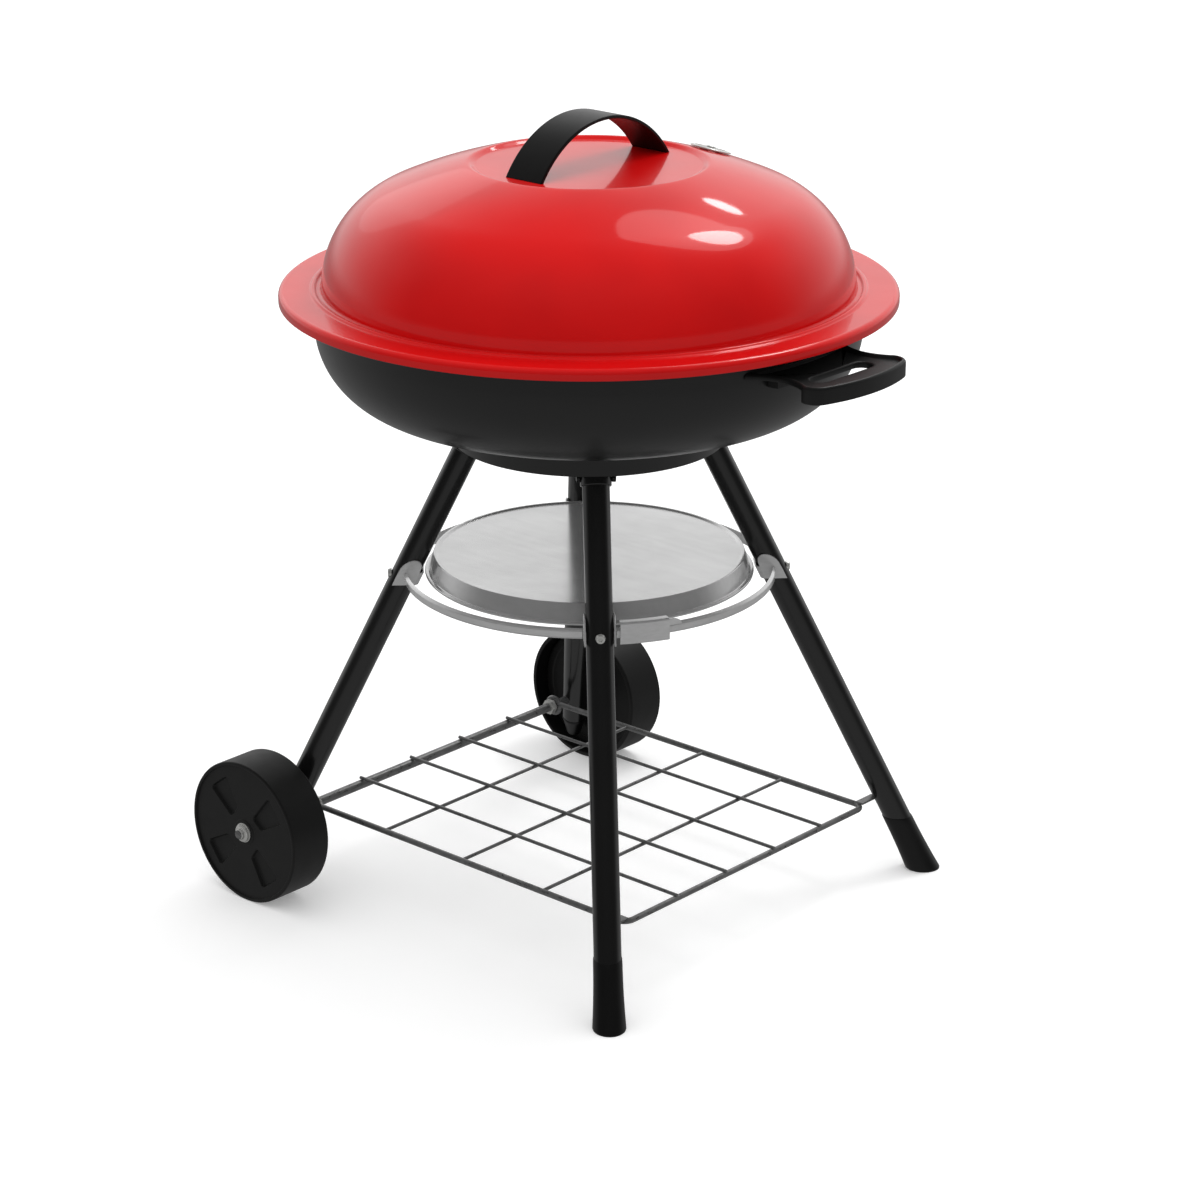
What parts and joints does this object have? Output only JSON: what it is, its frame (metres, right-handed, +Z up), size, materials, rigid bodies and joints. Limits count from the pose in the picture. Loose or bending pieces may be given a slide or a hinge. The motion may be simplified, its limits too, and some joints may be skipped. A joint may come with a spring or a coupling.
{
  "type": "kettle charcoal grill",
  "caption": "Round kettle charcoal grill with a domed lid, grates, ash tray on a hoop, and splayed tube legs, two on wheels, joined by a wire rack.",
  "frame": {"origin": "on the floor, on the axis of the bowl", "axes": "+Z up; +X from the wheel side to the side with the plain feet; +Y along the axle"},
  "size_m": [0.58, 0.5, 0.662],
  "materials": {
    "lid_enamel": "gloss porcelain enamel",
    "bowl_enamel": "gloss porcelain enamel",
    "leg_enamel": "gloss paint on tube",
    "black_plastic": "satin moulded",
    "wheel_plastic": "satin moulded",
    "tray_steel": "bright rolled sheet",
    "bright_steel": "bright rolled strip",
    "wire_steel": "chromed wire",
    "zinc_fastener": "zinc plated"
  },
  "bodies": {
    "frame": {"bowl": "bowl_enamel", "leg_ring": "bowl_enamel", "leg_foot_near": "leg_enamel", "leg_foot_far": "leg_enamel", "leg_wheel_near": "leg_enamel", "leg_wheel_far": "leg_enamel", "socket_foot_near": "bowl_enamel", "socket_foot_far": "bowl_enamel", "socket_wheel_near": "bowl_enamel", "socket_wheel_far": "bowl_enamel", "clip_foot_near": "bright_steel", "clip_foot_far": "bright_steel", "clip_wheel_near": "bright_steel", "clip_wheel_far": "bright_steel", "cap_foot_near": "black_plastic", "cap_foot_far": "black_plastic", "plug_wheel_near": "black_plastic", "plug_wheel_far": "black_plastic", "socket_bolts": "zinc_fastener", "clip_screws": "zinc_fastener", "axle": "wire_steel", "axle_washers": "zinc_fastener", "axle_cap_nuts": "zinc_fastener", "axle_nuts": "zinc_fastener", "rack_rail": "wire_steel", "rack_wires": "wire_steel", "rack_brackets": "wire_steel", "hoop_foot_side": "bright_steel", "hoop_far_side": "bright_steel", "hoop_wheel_side": "bright_steel", "hoop_near_side": "bright_steel", "hoop_joiner": "bright_steel", "bowl_handle_foot_side": "black_plastic", "bowl_handle_wheel_side": "black_plastic", "handle_screws": "zinc_fastener", "grate_brackets": "bowl_enamel", "damper_rivet": "zinc_fastener"},
    "lid": {"lid_shell": "lid_enamel", "lid_handle": "black_plastic", "handle_push_nuts": "zinc_fastener", "lid_damper_rivet": "zinc_fastener"},
    "lid_damper": {"lid_damper": "bright_steel"},
    "bowl_damper": {"bowl_damper": "bright_steel"},
    "cooking_grate": {"cooking_grate_hoop": "wire_steel", "cooking_grate_bars": "wire_steel"},
    "charcoal_grate": {"charcoal_grate_hoop": "wire_steel", "charcoal_grate_bars": "wire_steel"},
    "ash_tray": {"ash_tray": "tray_steel"},
    "wheel_near": {"wheel_near": "wheel_plastic", "wheel_back_near": "wheel_plastic"},
    "wheel_far": {"wheel_far": "wheel_plastic", "wheel_back_far": "wheel_plastic"}
  },
  "joints": [
    {"name": "lid_lift", "type": "slide", "parent": "frame", "child": "lid", "axis": [0, 0, 1], "range_m": [0, 0.2]},
    {"name": "lid_damper_turn", "type": "hinge", "parent": "lid", "child": "lid_damper", "pos_m": [0.03054, 0.11398, 0.61782], "axis": [0.0738, 0.2754, 0.9585], "range_deg": [0, 45]},
    {"name": "bowl_damper_turn", "type": "hinge", "parent": "frame", "child": "bowl_damper", "pos_m": [0, 0, 0.398], "axis": [0, 0, 1], "range_deg": [0, 45]},
    {"name": "cooking_grate_lift", "type": "slide", "parent": "frame", "child": "cooking_grate", "axis": [0, 0, 1], "range_m": [0, 0.03]},
    {"name": "charcoal_grate_lift", "type": "slide", "parent": "frame", "child": "charcoal_grate", "axis": [0, 0, 1], "range_m": [0, 0.05]},
    {"name": "ash_tray_lift", "type": "slide", "parent": "frame", "child": "ash_tray", "axis": [0, 0, 1], "range_m": [0, 0.004]},
    {"name": "wheel_near_spin", "type": "hinge", "parent": "frame", "child": "wheel_near", "pos_m": [-0.18234, -0.21, 0.062], "axis": [0, 1, 0], "continuous": true},
    {"name": "wheel_far_spin", "type": "hinge", "parent": "frame", "child": "wheel_far", "pos_m": [-0.18234, 0.21, 0.062], "axis": [0, 1, 0], "continuous": true}
  ]
}
